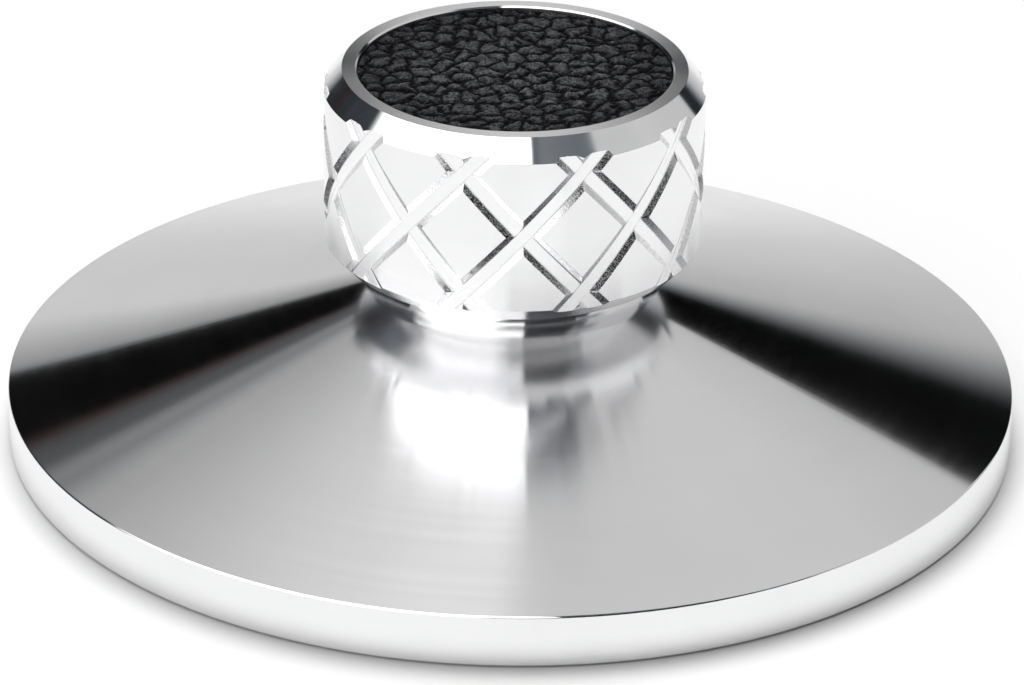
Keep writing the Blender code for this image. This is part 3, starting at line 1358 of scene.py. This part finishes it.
@dataclass
class Studio:
    """A white floor under soft light, and the camera."""

    floor_half: float = 4.0
    floor_drop: float = 0.05 * MM
    lens: float = 172.37
    sensor_width: float = 36.0
    sight: Point = (0.01, 50.0)
    eye: Spot = (0.3555 * MM, -437.748 * MM, 224.993 * MM)
    yaw: float = -0.000611
    pitch: float = 0.459503
    roll: float = 0.0147214
    nearness: float = 0.068
    near_across: float = 0.27
    near_from: Point = (0.3, 0.6)
    ring_shift: float = 0.032
    panel: Panel = field(default_factory=Panel)
    canopy: Canopy = field(default_factory=Canopy)
    dark_tint: Colour = (0.84, 0.99, 1.17, 1.0)
    cone_tint: Colour = (0.95, 1.0, 1.03, 1.0)
    cone_until: Point = (20.0, 40.0)
    warm_tint: Colour = (1.40, 0.92, 0.93, 1.0)
    warm_streak: Band = Band((-73.5, -71.0), (-70.0, -67.5))
    light_tint: Colour = (1.0, 1.0, 1.0, 1.0)
    light_from: Point = (0.0, 0.45)
    lamp_energy: float = 5.0
    lamp_softness: float = math.radians(40.0)
    lamp_lean: float = math.radians(-22.0)
    snoot_place: Spot = (-0.12, 0.52, 0.36)
    snoot_aim: Spot = (0.0, 0.0, 0.038)
    snoot_angle: float = math.radians(2.7)
    snoot_blend: float = 0.1
    snoot_slot: float = 0.50
    snoot_radius: float = 0.006
    snoot_energy: float = 150.0

    def lay_floor(self) -> bpy.types.Object:
        """Lay the floor.

        Returns:
            The floor.
        """
        mesh = bpy.data.meshes.new("floor")
        far = self.floor_half
        corners = [(x * far, y * far, -self.floor_drop) for x, y in ((-1, -1), (1, -1), (1, 1), (-1, 1))]
        mesh.from_pydata(corners, [], [(0, 1, 2, 3)])
        mesh.materials.append(PaleFloor("pale_floor").make())
        return add_object("floor", mesh)

    def set_camera(self) -> None:
        """Stand the camera where the photograph was taken from."""
        level = math.cos(self.pitch)
        ahead = Vector((math.sin(self.yaw) * level, math.cos(self.yaw) * level, -math.sin(self.pitch)))
        right = Vector((math.cos(self.yaw), -math.sin(self.yaw), 0.0))
        up = right.cross(ahead)
        across = right * math.cos(self.roll) + up * math.sin(self.roll)
        upright = up * math.cos(self.roll) - right * math.sin(self.roll)
        camera = bpy.data.cameras.new("camera")
        camera.lens = self.lens
        camera.sensor_width = self.sensor_width
        camera.sensor_fit = "HORIZONTAL"
        camera.clip_start, camera.clip_end = self.sight
        obj = add_object("camera", camera)
        turn = Matrix((across, upright, -ahead)).transposed()
        obj.matrix_world = Matrix.Translation(self.eye) @ turn.to_4x4()
        bpy.context.scene.camera = obj

    def mirror_tilt(self, graph: Graph, ray: Term) -> tuple[Term, Term, Term]:
        """Find the tilt of a surface that shows a direction to the photograph's viewer.

        Args:
            graph: The world's graph.
            ray: The direction.

        Returns:
            Where the tilt points, in degrees from the front to the right, its angle, and
            how far round the knob's ring it lies, which is nearer to the viewer.
        """
        toward_eye = tuple(Vector(self.eye).normalized())
        ray_x, ray_y, _ = graph.separate(ray)
        aside = ray_x.share(-self.near_across, self.near_across) * 2.0 - 1.0
        aside = aside * ray_y.share(*self.near_from) * -self.nearness
        half = graph.vector("ADD", graph.vector("ADD", ray, toward_eye), graph.combine(aside, 0.0, 0.0))
        x, y, z = graph.separate(half)
        around = graph.math("ARCTAN2", x, -y) * math.degrees(1.0)
        tilt = graph.math("ARCTAN2", graph.reach(x, y), z) * math.degrees(1.0)
        over_ring = graph.math("ARCTAN2", x.abs(), z * self.ring_shift - y) * math.degrees(1.0)
        return around, tilt, over_ring

    def light(self) -> None:
        """Hang the studio's panel and canopy round the object."""
        world = bpy.data.worlds.new("studio")
        world.use_nodes = True
        graph = Graph(world.node_tree)
        ray = graph.term("ShaderNodeTexCoord", None, None, "Generated")
        around, tilt, over_ring = self.mirror_tilt(graph, ray)
        panel, wedge = self.panel.cover(graph, ray)
        rest = self.canopy.level(around, tilt, over_ring)
        rest = graph.mix(wedge, rest, self.panel.dimness(around, tilt))
        strength = graph.mix(panel, rest, self.panel.strength)
        tint = graph.blend(tilt.rise(*self.cone_until), self.cone_tint, self.dark_tint)
        tint = graph.blend(self.warm_streak.over(around), tint, self.warm_tint)
        colour = graph.blend(strength.rise(*self.light_from), tint, self.light_tint)
        graph.fill(world.node_tree.nodes["Background"], {"Color": colour, "Strength": strength})
        bpy.context.scene.world = world

    def hang(self, lamp: bpy.types.Light, place: Matrix) -> None:
        """Hang a lamp that the metal doesn't mirror."""
        obj = add_object(lamp.name, lamp)
        obj.matrix_world = place
        obj.visible_glossy = False

    def hang_lamps(self) -> None:
        """Hang a soft lamp high behind, for the shadow, and a narrow one that rakes the leather."""
        lamp = bpy.data.lights.new("back_lamp", "SUN")
        lamp.energy = self.lamp_energy
        lamp.angle = self.lamp_softness
        self.hang(lamp, Matrix.Rotation(self.lamp_lean, 4, "X"))
        snoot = bpy.data.lights.new("leather_snoot", "SPOT")
        snoot.energy = self.snoot_energy
        snoot.spot_size = self.snoot_angle
        snoot.spot_blend = self.snoot_blend
        snoot.shadow_soft_size = self.snoot_radius
        ahead = Vector(self.snoot_aim) - Vector(self.snoot_place)
        turn = ahead.to_track_quat("-Z", "Y").to_matrix().to_4x4()
        slot = Matrix.Diagonal((1.0, self.snoot_slot, 1.0, 1.0))
        self.hang(snoot, Matrix.Translation(self.snoot_place) @ turn @ slot)

    def build(self) -> None:
        """Set the camera, the floor and the light."""
        self.set_camera()
        self.lay_floor()
        self.light()
        self.hang_lamps()
        bpy.context.scene.view_settings.view_transform = "Standard"


def main() -> None:
    """Load the frame, dress the clamp and set the studio."""
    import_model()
    Studio().build()
    flank = MilledAluminium(
        "milled_flank",
        tint=(0.80, 0.80, 0.81, 1.0),
        shade=(0.66, 0.66, 0.67, 1.0),
        roughness=0.18,
        chatter=7500.0,
        chatter_relief=0.000014,
        torn=0.25,
    )
    finishes = {
        "turned": TurnedAluminium("turned_aluminium").make(),
        "floor": MilledAluminium("milled_floor").make(),
        "flank": flank.make(),
    }
    clamp = ClampBody()
    body = clamp.build(finishes)
    leather = LeatherInlay().build(clamp.knob_top, BlackLeather("black_leather").make())
    for piece, node, slot in (
        (body, "clamp_body", "turned_aluminium"),
        (leather, "leather_inlay", "black_leather"),
    ):
        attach(piece, "root")
        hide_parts(node)
        LOG.info("%s: %d faces", piece.name, len(piece.data.polygons))


if __name__ == "__main__":
    logging.basicConfig(level=logging.INFO, format="%(message)s")
    main()
